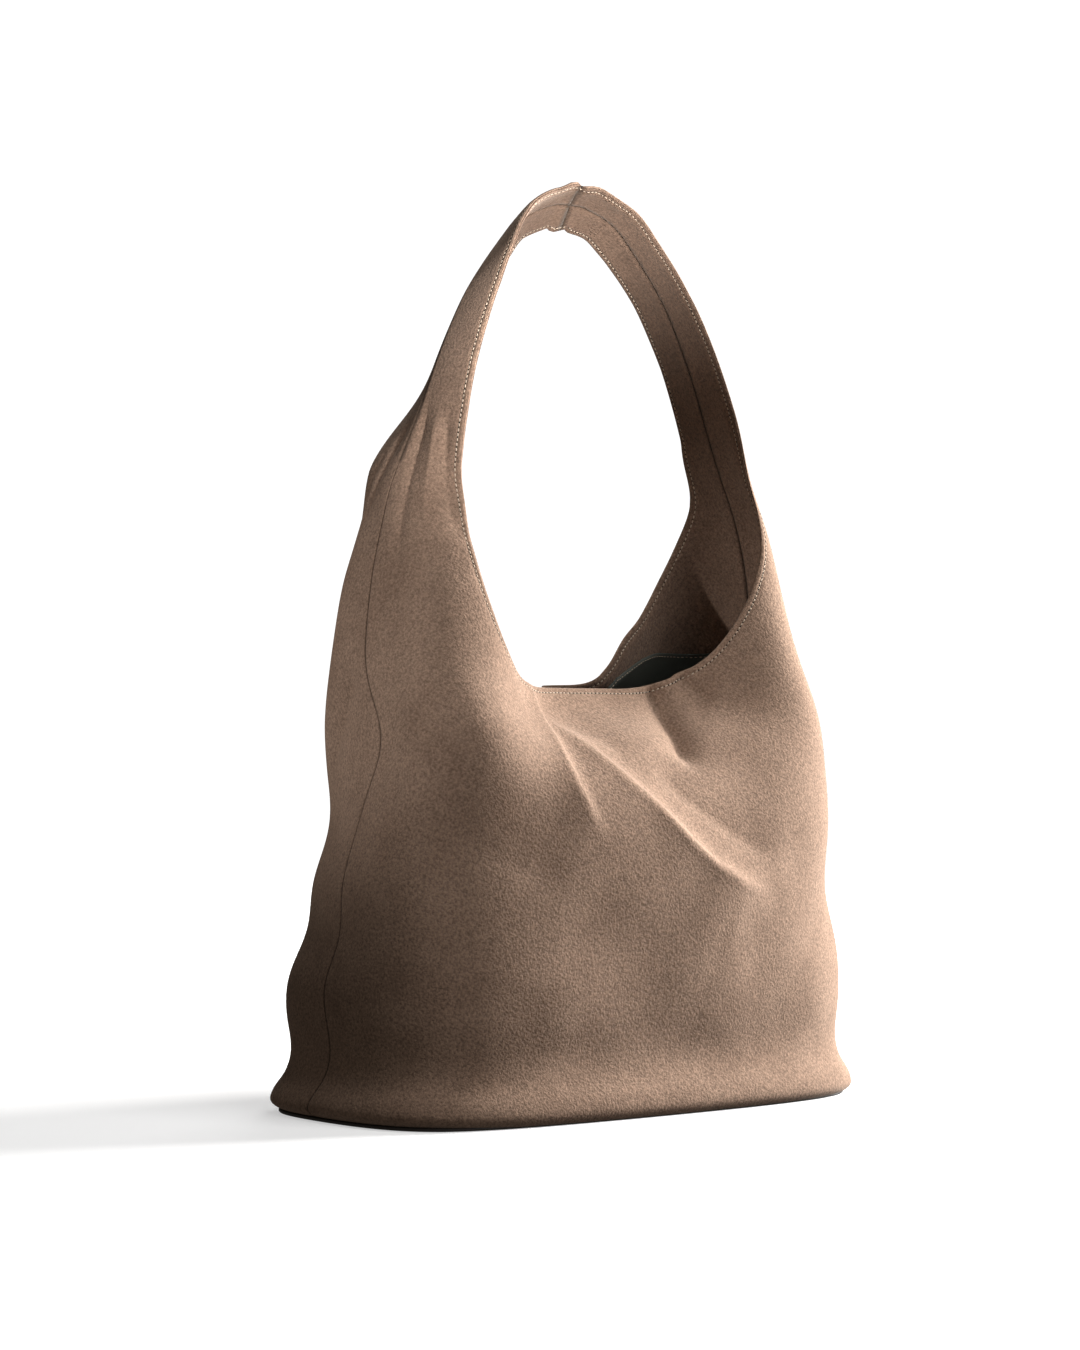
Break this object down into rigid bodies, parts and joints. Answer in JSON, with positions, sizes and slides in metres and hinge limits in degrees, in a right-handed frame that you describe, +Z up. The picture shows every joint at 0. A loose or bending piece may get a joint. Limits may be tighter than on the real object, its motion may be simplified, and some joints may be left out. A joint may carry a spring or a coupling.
{
  "type": "hobo bag",
  "caption": "Slouchy suede shoulder bag with a wide U-shaped mouth, flat oval base and two panels that run on up into one wide shoulder strap.",
  "frame": {"origin": "on the floor under the middle of the base", "axes": "+Z up, X across the bag's width, -Y out of the front panel"},
  "size_m": [0.3898, 0.2142, 0.58],
  "materials": {
    "suede": "napped taupe suede, matt",
    "facing_suede": "napped taupe suede, matt",
    "base_leather": "smooth dark leather",
    "fibre_board": "matt bonded fibre board",
    "lining_fabric": "smooth grey-green lining cloth",
    "woven_tape": "plain woven stay tape",
    "thread": "light beige sewing thread"
  },
  "bodies": {
    "bag": {"front_panel": "suede", "back_panel": "suede", "base_panel": "base_leather", "base_board": "fibre_board", "base_lining": "lining_fabric", "front_facing": "facing_suede", "back_facing": "facing_suede", "front_lining": "lining_fabric", "back_lining": "lining_fabric", "seam_tape_left": "woven_tape", "seam_tape_right": "woven_tape", "front_lip_stitch": "thread", "back_lip_stitch": "thread", "lining_stitch": "thread"},
    "strap": {"strap_front_left": "suede", "strap_facing_front_left": "facing_suede", "strap_stitch_front_left": "thread", "strap_front_right": "suede", "strap_facing_front_right": "facing_suede", "strap_stitch_front_right": "thread", "strap_back_left": "suede", "strap_facing_back_left": "facing_suede", "strap_stitch_back_left": "thread", "strap_back_right": "suede", "strap_facing_back_right": "facing_suede", "strap_stitch_back_right": "thread", "strap_tape_left": "woven_tape", "strap_tape_right": "woven_tape", "crown_seam_stitch": "thread"}
  },
  "joints": [
    {"name": "strap_fold", "type": "hinge", "parent": "bag", "child": "strap", "pos_m": [0, 0, 0.4], "axis": [1, 0, 0], "range_deg": [-110, 110]}
  ]
}
